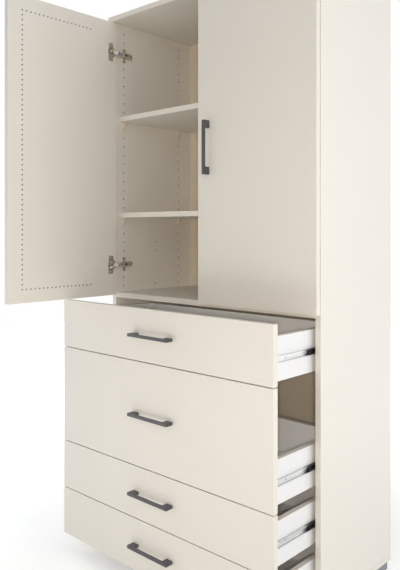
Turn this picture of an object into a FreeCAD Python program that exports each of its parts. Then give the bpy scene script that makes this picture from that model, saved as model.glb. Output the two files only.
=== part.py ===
import FreeCAD, Part
import os
from FreeCAD import Vector

# A tall cupboard for clothes and linen: two doors over four drawers, as separate pieces.
#
# The frame is in millimetres: X to the right, Y to the back, Z up. The origin is on the floor,
# under the middle of the bottom panel. The left door stands open at 90 degrees, the right door
# is closed, and each drawer is out by DRAWER_OUT.
#
# Doors and hinges are drawn once, closed, at the left front corner of the carcass, in corner
# coordinates: u runs inwards from the side panel's outer face, v runs back from its front edge.

# Carcass
WIDTH = 890.0                # over the side panels
DEPTH = 412.0                # of a side panel
BOARD = 18.0                 # thickness of every melamine-faced board
FOOT_HEIGHT = 30.0
SIDE_HEIGHT = 1795.5
OVERHANG = 22.0              # of the top and bottom panels past the side panels' front edges
BACK_THICKNESS = 3.0
BACK_GROOVE = 6.0            # how far the back sits in the boards around it
BACK_SET_IN = 395.0          # v of the back's front face
FIXED_SHELF_BOTTOM = 842.0   # underside of the fixed shelf between drawers and doors
SHELF_SET_BACK = 15.0
SHELF_DEPTH = 375.0
SHELF_PLAY = 1.0             # gap at each end of a loose shelf
FOOT_SIZE = 64.0
FOOT_INSET = 7.0
FOOT_CHAMFER = 4.0
FOOT_RECESS_RADIUS = 5.0     # the sole's recess for the fixing screw
FOOT_RECESS_DEPTH = 18.0

# Rows of 5 mm holes in the side panels, counted down from the top hole
HOLE_RADIUS = 2.5
HOLE_DEPTH = 12.0
HOLE_PITCH = 32.0
HOLE_DROP = 34.0             # from the side panel's top to hole 0
FRONT_ROW = 36.0             # v of the front row
REAR_ROW = 324.0             # v of the rear row
SHELF_HOLES = (11, 22)       # the holes that carry the two loose shelves
SPARE_HOLES = (12, 13, 23)   # the holes below them, to lower a shelf
SUPPORT_RISE = 27.0          # from a support's peg to the shelf on it
SUPPORT_DROP = 5.0           # from the peg to the support's lower end
SUPPORT_WIDTH = 14.0
SUPPORT_PLATE = 3.0
SUPPORT_LEDGE = 4.0
SUPPORT_REACH = 12.0         # of the ledge, from the side panel
GUSSET_FOOT = (4.0, 8.0)     # where the gusset starts: from the side panel, above the peg
PEG_LENGTH = 11.0
PEG_PLAY = 0.05

# Fronts
FRONT_GAP = 2.0              # between a closed front and the side panels' front edges
FRONT_INSET = 1.0            # of a front from the carcass's outer face
DOOR_BOTTOM = 852.0
DOOR_TOP = 1839.0
DOOR_SPLIT = 4.0             # gap between the two doors
DRAWER_FRONTS = ((690.0, 159.0), (370.0, 317.0), (210.0, 157.0), (50.0, 157.0))  # bottom, height

# Bar handles
HANDLE_LENGTH = 170.0
HANDLE_WIDTH = 9.0
HANDLE_THICKNESS = 8.0
HANDLE_PROJECTION = 27.0
HANDLE_FOOT = 24.0
HANDLE_CHAMFER = 1.0
DOOR_HANDLE_FROM_EDGE = 44.5

# Drawer boxes and slides
DRAWER_OUT = 196.0           # how far each drawer is out
BOX_LENGTH = 360.0
BOX_BOARD = 16.0
BOX_HEIGHT = 118.0
BOX_RISE = 3.0               # from a front's lower edge to the box
BOTTOM_THICKNESS = 4.0
BOTTOM_RISE = 10.0
BOTTOM_GROOVE = 5.0
SLIDE_GAP = 10.0             # between a side panel and the drawer box
SLIDE_START = 3.0            # v of the slides' front ends when closed
SLIDE_LENGTH = 350.0
SLIDE_STEEL = 1.0
DRAWER_RAIL_HEIGHT = 17.0
DRAWER_RAIL_REACH = 8.2
CABINET_RAIL_HEIGHT = 10.4
CABINET_RAIL_REACH = 7.0
CAGE_START = 73.0            # v of the ball cage's front end when closed
CAGE_LENGTH = 145.0
CAGE_WALL = 0.8
CAGE_HEIGHT = 13.4
CAGE_NEAR = 1.6              # from the drawer's side to the cage
CAGE_REACH = 5.8

# Concealed hinges: a link turns on an arm pin and carries the door's cup on a cup pin
HINGE_HOLES = ((2, 3), (26, 27))  # the pairs of holes that carry the mounting plates
ARM_PIN = (30.0, 2.0)        # u, v
CUP_PIN = (11.5, -4.5)       # u, v with the door closed
LINK_BENDS = ((25.0, -11.0), (12.0, -11.0))
DOOR_TURN = 90.0             # of the open door, in degrees
LINK_TURN = 61.27            # of its links, the other way, in degrees
PIN_RADIUS = 1.5
PIN_PLAY = 0.05
LINK_STEEL = 2.5
LINK_HALF_WIDTH = 5.5
ARM_EYE = 3.2
CUP_EYE = 2.8
CUP_FROM_EDGE = 22.5
CUP_RADIUS = 17.5
CUP_WALL = 1.0
CUP_DEPTH = 13.0
CUP_FLOOR = 0.8
CUP_RIM = 19.0
FLANGE_THICKNESS = 1.0
FLANGE_LENGTH = 65.0
FLANGE_FROM_EDGE = (16.5, 38.0)
BORE_PLAY = 0.1
BORE_DEPTH = 13.3
LUG_HALF_GAP = 6.2
LUG_REACH = 10.7
LUG_U = (9.7, 13.3)
LUG_DROP = 0.2
ARM_CHEEK = 1.5
ARM_HALF_GAP = 6.3
ARM_TOP = 34.5
ARM_END = 72.0
ARM_HEEL = 22.0              # v where the cheeks rise from the mounting plate
ARM_SHOULDER = 6.0           # v where their top edge starts to slope
ARM_NOSE_U = (27.4, 32.8)
ARM_NOSE_V = -0.3
ARM_WEB_START = 7.0
ARM_SLOT_START = 46.0        # v of the slot for the fixing screw, open at the arm's end
ARM_SLOT_HALF = 3.2
PLATE_THICKNESS = 2.5
PLATE_V = (24.0, 71.0)
PLATE_HALF = 9.0
PLATE_WING = 26.0            # half the length of the mounting plate's cross wing
PLATE_WING_HALF = 6.0        # half its width
PLATE_BLOCK_TOP = 26.0       # u of the top of the block that centres the arm
PLATE_BLOCK_V = (27.0, 69.0)
PLATE_BLOCK_HALF = 6.0

# Levels and planes that follow from the dimensions above
HALF = WIDTH / 2
FRONT = (OVERHANG - DEPTH) / 2
REAR = (OVERHANG + DEPTH) / 2
INNER = HALF - BOARD
SIDE_BOTTOM = FOOT_HEIGHT + BOARD
SIDE_TOP = SIDE_BOTTOM + SIDE_HEIGHT
TOP = SIDE_TOP + BOARD
FRONT_FACE = FRONT - FRONT_GAP - BOARD
DOOR_WIDTH = HALF - FRONT_INSET - DOOR_SPLIT / 2
BOX_HALF = INNER - SLIDE_GAP


def block(x_span, y_span, z_span):
    """A box between two planes on each axis."""
    corner = Vector(x_span[0], y_span[0], z_span[0])
    size = [high - low for low, high in (x_span, y_span, z_span)]
    return Part.makeBox(size[0], size[1], size[2], corner)


def prism(points, direction):
    """A flat outline of straight sides, pushed along a direction."""
    outline = Part.makePolygon([Vector(p) for p in points + points[:1]])
    return Part.Face(outline).extrude(Vector(direction))


def rod(radius, start, end):
    """A round bar between two points."""
    along = Vector(end).sub(Vector(start))
    return Part.makeCylinder(radius, along.Length, Vector(start), along)


def mirrored(shape):
    """The same shape on the other side of the carcass."""
    return shape.mirror(Vector(0, 0, 0), Vector(1, 0, 0))


def at_corner(u, v, z=0.0):
    """A point given in corner coordinates."""
    return Vector(u - HALF, FRONT + v, z)


def corner_block(u_span, v_span, z_span):
    """A box given in corner coordinates."""
    x_span = [u - HALF for u in u_span]
    y_span = [FRONT + v for v in v_span]
    return block(x_span, y_span, z_span)


def hole_level(index):
    """The height of a hole in the side panels' rows."""
    return SIDE_TOP - HOLE_DROP - index * HOLE_PITCH


def hinge_levels():
    """The height of each hinge's middle."""
    return [(hole_level(upper) + hole_level(lower)) / 2 for upper, lower in HINGE_HOLES]


# ---------------------------------------------------------------- carcass

def panel_holes():
    """Every drilled hole of the left side panel, as (v, level)."""
    return [(row, hole_level(index)) for index in SHELF_HOLES + SPARE_HOLES for row in (FRONT_ROW, REAR_ROW)]


def side_panel():
    """The left side panel, with its groove for the back and its drilled holes."""
    panel = corner_block((0, BOARD), (0, DEPTH), (SIDE_BOTTOM, SIDE_TOP))
    groove_v = (BACK_SET_IN, BACK_SET_IN + BACK_THICKNESS)
    cuts = [corner_block((BOARD - BACK_GROOVE, BOARD), groove_v, (SIDE_BOTTOM, SIDE_TOP))]
    for v, level in panel_holes():
        cuts.append(rod(HOLE_RADIUS, at_corner(BOARD - HOLE_DEPTH, v, level), at_corner(BOARD, v, level)))
    return panel.cut(cuts)


def cover_panel(bottom, groove_level):
    """The top or the bottom panel, which covers the side panels' ends and the fronts' gap."""
    panel = block((-HALF, HALF), (FRONT - OVERHANG, REAR), (bottom, bottom + BOARD))
    groove_v = (FRONT + BACK_SET_IN, FRONT + BACK_SET_IN + BACK_THICKNESS)
    reach = INNER + BACK_GROOVE
    groove = block((-reach, reach), groove_v, (groove_level, groove_level + BACK_GROOVE))
    return panel.cut(groove)


def back_panel():
    """The thin back, held in grooves all round."""
    reach = INNER + BACK_GROOVE
    y_span = (FRONT + BACK_SET_IN, FRONT + BACK_SET_IN + BACK_THICKNESS)
    return block((-reach, reach), y_span, (SIDE_BOTTOM - BACK_GROOVE, SIDE_TOP + BACK_GROOVE))


def fixed_shelf():
    """The fixed shelf that ties the side panels between the drawers and the doors."""
    z_span = (FIXED_SHELF_BOTTOM, FIXED_SHELF_BOTTOM + BOARD)
    return block((-INNER, INNER), (FRONT, FRONT + BACK_SET_IN), z_span)


def loose_shelf(index):
    """A shelf that lies on four supports."""
    bottom = hole_level(index) + SUPPORT_RISE
    front = FRONT + SHELF_SET_BACK
    reach = INNER - SHELF_PLAY
    return block((-reach, reach), (front, front + SHELF_DEPTH), (bottom, bottom + BOARD))


def shelf_support(v, level):
    """A plastic support: a peg, a plate on the side panel and a gusseted ledge."""
    profile = [
        (0, -SUPPORT_DROP), (SUPPORT_PLATE, -SUPPORT_DROP), GUSSET_FOOT,
        (SUPPORT_REACH, SUPPORT_RISE - SUPPORT_LEDGE), (SUPPORT_REACH, SUPPORT_RISE), (0, SUPPORT_RISE),
    ]
    start = v - SUPPORT_WIDTH / 2
    body = prism([at_corner(BOARD + out, start, level + up) for out, up in profile], (0, SUPPORT_WIDTH, 0))
    tip = at_corner(BOARD - PEG_LENGTH, v, level)
    peg = rod(HOLE_RADIUS - PEG_PLAY, tip, at_corner(BOARD + SUPPORT_PLATE / 2, v, level))
    return body.fuse(peg).removeSplitter()


def foot(x_side, y_near, y_far):
    """A square plastic foot with chamfered corners and a screw recess in its sole."""
    x_far = x_side - FOOT_SIZE
    c = FOOT_CHAMFER
    outline = [
        (x_far + c, y_near), (x_side - c, y_near), (x_side, y_near + c), (x_side, y_far - c),
        (x_side - c, y_far), (x_far + c, y_far), (x_far, y_far - c), (x_far, y_near + c),
    ]
    body = prism([Vector(x, y, 0) for x, y in outline], (0, 0, FOOT_HEIGHT))
    middle = ((x_far + x_side) / 2, (y_near + y_far) / 2)
    recess = rod(FOOT_RECESS_RADIUS, middle + (0,), middle + (FOOT_RECESS_DEPTH,))
    return body.cut(recess)


def feet():
    """The four feet, set in from the edges of the bottom panel."""
    front = FRONT - OVERHANG + FOOT_INSET
    rear = REAR - FOOT_INSET
    side = HALF - FOOT_INSET
    right = [foot(side, front, front + FOOT_SIZE), foot(side, rear - FOOT_SIZE, rear)]
    return right + [mirrored(shape) for shape in right]


def carcass():
    """Everything that stands still, apart from the hinges' fixed parts."""
    supports = [
        shelf_support(v, hole_level(index)) for index in SHELF_HOLES for v in (FRONT_ROW, REAR_ROW)
    ]
    return {
        "side_panel_left": [side_panel()],
        "side_panel_right": [mirrored(side_panel())],
        "top_panel": [cover_panel(SIDE_TOP, SIDE_TOP)],
        "bottom_panel": [cover_panel(FOOT_HEIGHT, SIDE_BOTTOM - BACK_GROOVE)],
        "back_panel": [back_panel()],
        "fixed_shelf": [fixed_shelf()],
        "shelf_upper": [loose_shelf(SHELF_HOLES[0])],
        "shelf_lower": [loose_shelf(SHELF_HOLES[1])],
        "shelf_supports": supports + [mirrored(shape) for shape in supports],
        "feet": feet(),
        "cabinet_rails": cabinet_rails(),
    }


# ---------------------------------------------------------------- handles

def bar_handle():
    """A bar handle standing on the plane y = 0, with its length along Z and its middle at 0."""
    end = HANDLE_LENGTH / 2
    inner = end - HANDLE_FOOT
    out = -HANDLE_PROJECTION
    under = out + HANDLE_THICKNESS
    c = HANDLE_CHAMFER
    half = [(0, inner), (under, inner), (under, -inner), (0, -inner)]
    outside = [(0, -end), (out + c, -end), (out, -end + c), (out, end - c), (out + c, end), (0, end)]
    start = -HANDLE_WIDTH / 2
    points = [Vector(start, y, z) for y, z in half + outside]
    return prism(points, (HANDLE_WIDTH, 0, 0))


def door_handle():
    """The handle of the left door, closed: upright, near the edge where the doors meet."""
    x = -DOOR_SPLIT / 2 - DOOR_HANDLE_FROM_EDGE
    return bar_handle().translate(Vector(x, FRONT_FACE, (DOOR_BOTTOM + DOOR_TOP) / 2))


def drawer_handle(bottom, height):
    """The handle of a closed drawer: level, in the middle of its front."""
    handle = bar_handle().rotate(Vector(0, 0, 0), Vector(0, 1, 0), 90)
    return handle.translate(Vector(0, FRONT_FACE, bottom + height / 2))


# ---------------------------------------------------------------- drawers

def channel(face, reach, height, steel, v_start, length, level):
    """A C section lying against a side's face at x = face; a negative reach opens to the left."""
    web = steel if reach > 0 else -steel
    top = height / 2
    inside = top - steel
    section = [
        (0, -top), (reach, -top), (reach, -inside), (web, -inside),
        (web, inside), (reach, inside), (reach, top), (0, top),
    ]
    points = [Vector(face + x, FRONT + v_start, level + z) for x, z in section]
    return prism(points, (0, length, 0))


def slide_level(bottom):
    """The height of a drawer's slides, at the middle of its box."""
    return bottom + BOX_RISE + BOX_HEIGHT / 2


def cabinet_rails():
    """The slides' inner rails, screwed to the side panels."""
    rails = []
    for bottom, _ in DRAWER_FRONTS:
        size = (CABINET_RAIL_REACH, CABINET_RAIL_HEIGHT, SLIDE_STEEL)
        rail = channel(-INNER, *size, SLIDE_START, SLIDE_LENGTH, slide_level(bottom))
        rails += [rail, mirrored(rail)]
    return rails


def drawer_rails(bottom):
    """A drawer's outer rails, screwed to its sides and open towards the side panels."""
    size = (-DRAWER_RAIL_REACH, DRAWER_RAIL_HEIGHT, SLIDE_STEEL)
    rail = channel(-BOX_HALF, *size, SLIDE_START, SLIDE_LENGTH, slide_level(bottom))
    return [rail, mirrored(rail)]


def ball_cages(bottom):
    """The cages that hold the balls between the two rails."""
    size = (-CAGE_REACH, CAGE_HEIGHT, CAGE_WALL)
    cage = channel(-BOX_HALF - CAGE_NEAR, *size, CAGE_START, CAGE_LENGTH, slide_level(bottom))
    return [cage, mirrored(cage)]


def drawer(name, bottom, height):
    """A closed drawer: its front, box, handle and rails, and the cages that follow it."""
    box = bottom + BOX_RISE
    back_of_front = FRONT - FRONT_GAP
    end = back_of_front + BOX_LENGTH
    inside = BOX_HALF - BOX_BOARD
    bottom_half = inside + BOTTOM_GROOVE
    bottom_z = (box + BOTTOM_RISE, box + BOTTOM_RISE + BOTTOM_THICKNESS)
    floor = block((-bottom_half, bottom_half), (back_of_front - BOTTOM_GROOVE, end), bottom_z)
    front_x = (FRONT_INSET - HALF, HALF - FRONT_INSET)
    front = block(front_x, (FRONT_FACE, back_of_front), (bottom, bottom + height))
    side = block((-BOX_HALF, -inside), (back_of_front, end), (box, box + BOX_HEIGHT)).cut(floor)
    back = block((-inside, inside), (end - BOX_BOARD, end), (bottom_z[1], box + BOX_HEIGHT))
    return {
        name + "_front": [front.cut(floor)],
        name + "_side_left": [side],
        name + "_side_right": [mirrored(side)],
        name + "_back": [back],
        name + "_bottom": [floor],
        name + "_handle": [drawer_handle(bottom, height)],
        name + "_rails": drawer_rails(bottom),
        name + "_ball_cages": ball_cages(bottom),
    }


def drawers():
    """All four drawers, each out by DRAWER_OUT, with its ball cages half as far."""
    pieces = {}
    for number, (bottom, height) in enumerate(DRAWER_FRONTS, start=1):
        for node, solids in drawer(f"drawer_{number}", bottom, height).items():
            out = DRAWER_OUT / 2 if node.endswith("ball_cages") else DRAWER_OUT
            pieces[node] = [solid.translate(Vector(0, -out, 0)) for solid in solids]
    return pieces


# ---------------------------------------------------------------- hinges and doors

def hinge_plate(level):
    """A cross mounting plate, screwed into two holes of the front row, with the arm's block."""
    plate_u = (BOARD, BOARD + PLATE_THICKNESS)
    wing_v = (FRONT_ROW - PLATE_WING_HALF, FRONT_ROW + PLATE_WING_HALF)
    wing = corner_block(plate_u, wing_v, (level - PLATE_WING, level + PLATE_WING))
    base = corner_block(plate_u, PLATE_V, (level - PLATE_HALF, level + PLATE_HALF))
    centring_z = (level - PLATE_BLOCK_HALF, level + PLATE_BLOCK_HALF)
    centring = corner_block((BOARD, PLATE_BLOCK_TOP), PLATE_BLOCK_V, centring_z)
    return wing.fuse([base, centring]).removeSplitter()


def hinge_arm(level):
    """The arm: two cheeks with the arm pin riveted between them, and a web open at the screw."""
    foot_u = BOARD + PLATE_THICKNESS
    half = ARM_HALF_GAP + ARM_CHEEK
    outline = [
        (foot_u, ARM_HEEL), (foot_u, ARM_END), (ARM_TOP, ARM_END), (ARM_TOP, ARM_SHOULDER),
        (ARM_NOSE_U[1], ARM_NOSE_V), (ARM_NOSE_U[0], ARM_NOSE_V),
    ]
    cheeks = [
        prism([at_corner(u, v, low) for u, v in outline], (0, 0, ARM_CHEEK))
        for low in (level - half, level + ARM_HALF_GAP)
    ]
    web_u = (ARM_TOP - ARM_CHEEK, ARM_TOP)
    web = corner_block(web_u, (ARM_WEB_START, ARM_END), (level - half, level + half))
    slot = corner_block(web_u, (ARM_SLOT_START, ARM_END), (level - ARM_SLOT_HALF, level + ARM_SLOT_HALF))
    pin = rod(PIN_RADIUS, at_corner(*ARM_PIN, level - half), at_corner(*ARM_PIN, level + half))
    return cheeks[0].fuse([cheeks[1], web.cut(slot), pin]).removeSplitter()


def strip(path, width):
    """The outline of a bent strip of even width along a path, with mitred bends."""
    half = width / 2
    steps = [end.sub(start).normalize() for start, end in zip(path, path[1:])]
    sides = [Vector(-step.y, step.x, 0) for step in steps]
    edge = [sides[0] * half]
    for before, after in zip(sides, sides[1:]):
        mitre = before.add(after)
        edge.append(mitre * (width / mitre.dot(mitre)))
    edge.append(sides[-1] * half)
    left = [point.add(offset) for point, offset in zip(path, edge)]
    right = [point.sub(offset) for point, offset in zip(path, edge)]
    return left + right[::-1]


def hinge_link(level):
    """A cranked link with an eye at each end, which reaches round the cup's rim when open."""
    low = level - LINK_HALF_WIDTH
    high = level + LINK_HALF_WIDTH
    path = [at_corner(*point, low) for point in (ARM_PIN,) + LINK_BENDS + (CUP_PIN,)]
    crank = prism(strip(path, LINK_STEEL), (0, 0, high - low))
    eyes = [
        rod(radius, at_corner(*pin, low), at_corner(*pin, high))
        for pin, radius in ((ARM_PIN, ARM_EYE), (CUP_PIN, CUP_EYE))
    ]
    bores = [
        rod(PIN_RADIUS + PIN_PLAY, at_corner(*pin, low), at_corner(*pin, high))
        for pin in (ARM_PIN, CUP_PIN)
    ]
    return crank.fuse(eyes).removeSplitter().cut(bores)


def hinge_cup(level):
    """The cup of a closed door: a pan with a rim, a flange, and a pin riveted between two lugs."""
    centre_u = FRONT_INSET + CUP_FROM_EDGE
    face = -FRONT_GAP
    proud = face + FLANGE_THICKNESS
    deep = face - CUP_DEPTH
    pan = rod(CUP_RADIUS, at_corner(centre_u, deep, level), at_corner(centre_u, face, level))
    rim = rod(CUP_RIM, at_corner(centre_u, face, level), at_corner(centre_u, proud, level))
    flange_u = [FRONT_INSET + u for u in FLANGE_FROM_EDGE]
    half = FLANGE_LENGTH / 2
    flange = corner_block(flange_u, (face, proud), (level - half, level + half))
    inside = rod(CUP_RADIUS - CUP_WALL, at_corner(centre_u, deep + CUP_FLOOR, level),
                 at_corner(centre_u, proud, level))
    lugs = [
        corner_block(LUG_U, (deep + CUP_FLOOR / 2, face - LUG_DROP), (level + low, level + high))
        for low, high in ((-LUG_REACH, -LUG_HALF_GAP), (LUG_HALF_GAP, LUG_REACH))
    ]
    pin = rod(PIN_RADIUS, at_corner(*CUP_PIN, level - LUG_REACH), at_corner(*CUP_PIN, level + LUG_REACH))
    return pan.fuse([rim, flange]).cut(inside).fuse(lugs + [pin]).removeSplitter()


def door_panel():
    """The left door, closed, with a bore for each cup."""
    v_span = (-FRONT_GAP - BOARD, -FRONT_GAP)
    panel = corner_block((FRONT_INSET, FRONT_INSET + DOOR_WIDTH), v_span, (DOOR_BOTTOM, DOOR_TOP))
    centre_u = FRONT_INSET + CUP_FROM_EDGE
    deep = -FRONT_GAP - BORE_DEPTH
    bores = [
        rod(CUP_RADIUS + BORE_PLAY, at_corner(centre_u, deep, level), at_corner(centre_u, -FRONT_GAP, level))
        for level in hinge_levels()
    ]
    return panel.cut(bores)


def closed_door():
    """The left door and what hangs on its links, closed."""
    levels = hinge_levels()
    return {
        "panel": [door_panel()],
        "handle": [door_handle()],
        "hinge_cups": [hinge_cup(level) for level in levels],
        "hinge_links": [hinge_link(level) for level in levels],
    }


def opened(piece, solid):
    """Swings a piece of the left door open: the links turn one way, the door back past them."""
    up = Vector(0, 0, 1)
    if piece != "hinge_links":
        solid = solid.rotate(at_corner(*CUP_PIN), up, -(DOOR_TURN + LINK_TURN))
    return solid.rotate(at_corner(*ARM_PIN), up, LINK_TURN)


def doors():
    """The right door closed, and the left door open."""
    pieces = {}
    for piece, solids in closed_door().items():
        pieces["door_right_" + piece] = [mirrored(solid) for solid in solids]
        pieces["door_left_" + piece] = [opened(piece, solid) for solid in solids]
    return pieces


def fixed_hinge_parts():
    """What each hinge has on the carcass."""
    pieces = {}
    for node, make in (("hinge_plates", hinge_plate), ("hinge_arms", hinge_arm)):
        left = [make(level) for level in hinge_levels()]
        pieces[node] = left + [mirrored(solid) for solid in left]
    return pieces


def main():
    """Writes one STEP file for each node."""
    os.makedirs("parts", exist_ok=True)
    pieces = {**carcass(), **fixed_hinge_parts(), **doors(), **drawers()}
    for node, solids in pieces.items():
        if len(solids) == 1:
            shape = solids[0]
        else:
            shape = Part.makeCompound(solids)
        shape.exportStep(f"parts/{node}.step")
    print(len(pieces), "nodes")


main()
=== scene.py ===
import logging
import math
from dataclasses import dataclass, field, replace
from enum import Enum
from typing import Callable, Sequence

import bmesh
import bpy
from mathutils import Matrix, Vector


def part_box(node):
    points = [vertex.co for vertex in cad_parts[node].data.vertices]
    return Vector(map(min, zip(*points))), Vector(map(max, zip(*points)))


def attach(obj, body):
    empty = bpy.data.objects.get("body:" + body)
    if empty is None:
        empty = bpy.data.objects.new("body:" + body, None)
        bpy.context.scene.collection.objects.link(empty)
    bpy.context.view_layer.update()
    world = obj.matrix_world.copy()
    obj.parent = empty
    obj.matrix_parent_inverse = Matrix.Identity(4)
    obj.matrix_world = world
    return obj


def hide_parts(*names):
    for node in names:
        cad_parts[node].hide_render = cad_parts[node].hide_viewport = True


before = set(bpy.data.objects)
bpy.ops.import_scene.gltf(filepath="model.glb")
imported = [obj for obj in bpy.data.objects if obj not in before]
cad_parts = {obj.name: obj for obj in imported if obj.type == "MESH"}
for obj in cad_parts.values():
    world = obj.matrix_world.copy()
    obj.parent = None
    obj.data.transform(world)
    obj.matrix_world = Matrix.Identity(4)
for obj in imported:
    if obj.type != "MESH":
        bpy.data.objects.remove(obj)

# The looks of a tall cupboard with two doors over four drawers. Sizes are in millimetres until
# a piece is delivered, when its mesh is turned into metres in the frame of the solids.

MM = 0.001
X, Y, Z = (1.0, 0.0, 0.0), (0.0, 1.0, 0.0), (0.0, 0.0, 1.0)
LOG = logging.getLogger("cupboard")
Flat = tuple[float, float]
Point = tuple[float, float, float]
Colour = tuple[float, float, float, float]
Inputs = dict[str | int, object]
Material = bpy.types.Material
Mesh = bpy.types.Mesh
Node = bpy.types.Node
Socket = bpy.types.NodeSocket
Tree = bpy.types.NodeTree


class Side(Enum):
    """A side of the carcass. The value turns the left one into it."""

    LEFT = 1.0
    RIGHT = -1.0

    def mirror(self) -> Matrix:
        """The move from the left side to this one."""
        return Matrix.Diagonal((self.value, 1, 1, 1))


BOTH_SIDES = tuple(side.mirror() for side in Side)
DRAWERS = tuple(f"drawer_{number}" for number in range(1, 5))


# ---------------------------------------------------------------- small tools

def to_linear(colour: str, factor: float = 1.0) -> Colour:
    """Turns an sRGB hex colour into linear RGBA.

    Args:
        colour: The colour as "#rrggbb".
        factor: What its linear channels are multiplied by.

    Returns:
        Red, green, blue and an alpha of 1.
    """
    channels = [int(colour[i:i + 2], 16) / 255 for i in (1, 3, 5)]
    linear = [c / 12.92 if c <= 0.04045 else ((c + 0.055) / 1.055) ** 2.4 for c in channels]
    return (*(c * factor for c in linear), 1.0)


def grain(size: float) -> float:
    """The scale of a texture, on metres, whose features have a size in millimetres."""
    return 1 / (size * MM)


def add_node(
    tree: Tree, kind: str, settings: dict[str, object] | None = None, inputs: Inputs | None = None
) -> Node:
    """Adds a node with its settings and links.

    Args:
        tree: The tree that gets the node.
        kind: The node's type.
        settings: Values for the node's own properties.
        inputs: For each input, by name or number, a socket to link or a value to set. A list
            of sockets is linked one after the other.

    Returns:
        The new node.
    """
    node = tree.nodes.new(kind)
    for key, value in (settings or {}).items():
        setattr(node, key, value)
    for key, value in (inputs or {}).items():
        for one in value if isinstance(value, list) else [value]:
            if isinstance(one, Socket):
                tree.links.new(one, node.inputs[key])
            else:
                node.inputs[key].default_value = one
    return node


def put_in_scene(name: str, data: bpy.types.ID | None) -> bpy.types.Object:
    """Adds an object to the scene.

    Args:
        name: Its name.
        data: The mesh, lamp or camera that it carries.

    Returns:
        The object, at the origin.
    """
    thing = bpy.data.objects.new(name, data)
    bpy.context.scene.collection.objects.link(thing)
    return thing


def modified(mesh: Mesh, kind: str, set_up: Callable[[bpy.types.Modifier], None]) -> Mesh:
    """Runs a modifier on a mesh.

    Args:
        mesh: What goes in.
        kind: The modifier's type.
        set_up: Sets its values, before it is first evaluated.

    Returns:
        A new plain mesh.
    """
    carrier = put_in_scene("carrier", mesh)
    modifier = carrier.modifiers.new(kind, kind)
    set_up(modifier)
    graph = bpy.context.evaluated_depsgraph_get()
    result = bpy.data.meshes.new_from_object(carrier.evaluated_get(graph), depsgraph=graph)
    carrier.modifiers.remove(modifier)
    bpy.data.objects.remove(carrier)
    return result


# ---------------------------------------------------------------- finishes

@dataclass
class Surface:
    """A shader in the making, and the coordinates that its patterns lie on."""

    tree: Tree
    shader: Node
    place: Socket

    def feed(self, name: str, value: Socket) -> None:
        """Links a value to one of the shader's inputs."""
        self.tree.links.new(value, self.shader.inputs[name])

    def noise(self, size: float, detail: float) -> Socket:
        """An even noise from 0 to 1, whose features have a size in millimetres."""
        inputs = {"Vector": self.place, "Scale": grain(size), "Detail": detail}
        return add_node(self.tree, "ShaderNodeTexNoise", inputs=inputs).outputs["Fac"]

    def blend(self, value: Socket, low: object, high: object) -> Socket:
        """A colour, or its socket, that turns into another as a value goes from 0 to 1."""
        inputs = {0: value, 6: low, 7: high}
        return add_node(self.tree, "ShaderNodeMix", {"data_type": "RGBA"}, inputs).outputs[2]

    def roughen(self, noise: Socket, low: float, high: float) -> None:
        """Spreads the middle half of a noise over a range of roughness."""
        inputs = {"Value": noise, "From Min": 0.25, "From Max": 0.75, "To Min": low, "To Max": high}
        self.feed("Roughness", add_node(self.tree, "ShaderNodeMapRange", inputs=inputs).outputs["Result"])

    def emboss(self, height: Socket, depth: float, strength: float) -> None:
        """Raises the surface with a height from 0 to 1, by a depth in millimetres."""
        inputs = {"Height": height, "Distance": depth * MM, "Strength": strength}
        self.feed("Normal", add_node(self.tree, "ShaderNodeBump", inputs=inputs).outputs["Normal"])


@dataclass(frozen=True)
class Finish:
    """A colour and a roughness, and the fine noise that varies both and gives a relief.

    The noise's features have a size in millimetres. Its low and high parts multiply the colour
    by shades and add gloss to the roughness. The relief has a depth in millimetres.
    """

    name: str
    colour: str
    roughness: float
    metallic: float = 0.0
    ior: float = 1.5
    size: float = 1.0
    detail: float = 2.0
    shades: Flat = (1.0, 1.0)
    gloss: Flat | None = None
    depth: float = 0.0
    strength: float = 0.0

    def material(self) -> Material:
        """The material, which is made the first time it is asked for."""
        return bpy.data.materials.get(self.name) or self.make()

    def make(self) -> Material:
        """Makes the material, with its pattern on object coordinates.

        Returns:
            The material.
        """
        material = bpy.data.materials.new(self.name)
        material.use_nodes = True
        material.diffuse_color = to_linear(self.colour)
        tree = material.node_tree
        shader = tree.nodes["Principled BSDF"]
        for key, value in {
            "Base Color": to_linear(self.colour), "Roughness": self.roughness,
            "Metallic": self.metallic, "IOR": self.ior,
        }.items():
            shader.inputs[key].default_value = value
        self.dress(Surface(tree, shader, add_node(tree, "ShaderNodeTexCoord").outputs["Object"]))
        return material

    def tone(self, surface: Surface, noise: Socket) -> Socket:
        """The colour, which goes from one shade to the other with a noise."""
        low, high = (to_linear(self.colour, shade) for shade in self.shades)
        return surface.blend(noise, low, high)

    def dress(self, surface: Surface) -> None:
        """Adds the pattern.

        Args:
            surface: The shader that gets it.
        """
        noise = surface.noise(self.size, self.detail)
        surface.feed("Base Color", self.tone(surface, noise))
        if self.gloss is not None:
            surface.roughen(noise, *(self.roughness + change for change in self.gloss))
        surface.emboss(noise, self.depth, self.strength)


@dataclass(frozen=True)
class Melamine(Finish):
    """Melamine-faced board, pressed against a pearl-textured plate.

    It gives a silky surface with soft highlights, in which tiny pearls break up the gloss and
    the printed paper below shows a very faint cloud. The pearls are drawn four times as coarse.
    """

    size: float = 1.6
    detail: float = 1.0
    shades: Flat = (0.988, 1.012)
    gloss: Flat | None = (-0.04, 0.04)
    depth: float = 0.04
    strength: float = 0.25
    cloud: float = 160.0

    def tone(self, surface: Surface, noise: Socket) -> Socket:
        """The colour, which follows the paper's cloud and not the pearls."""
        return Finish.tone(self, surface, surface.noise(self.cloud, 2.0))


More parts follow.
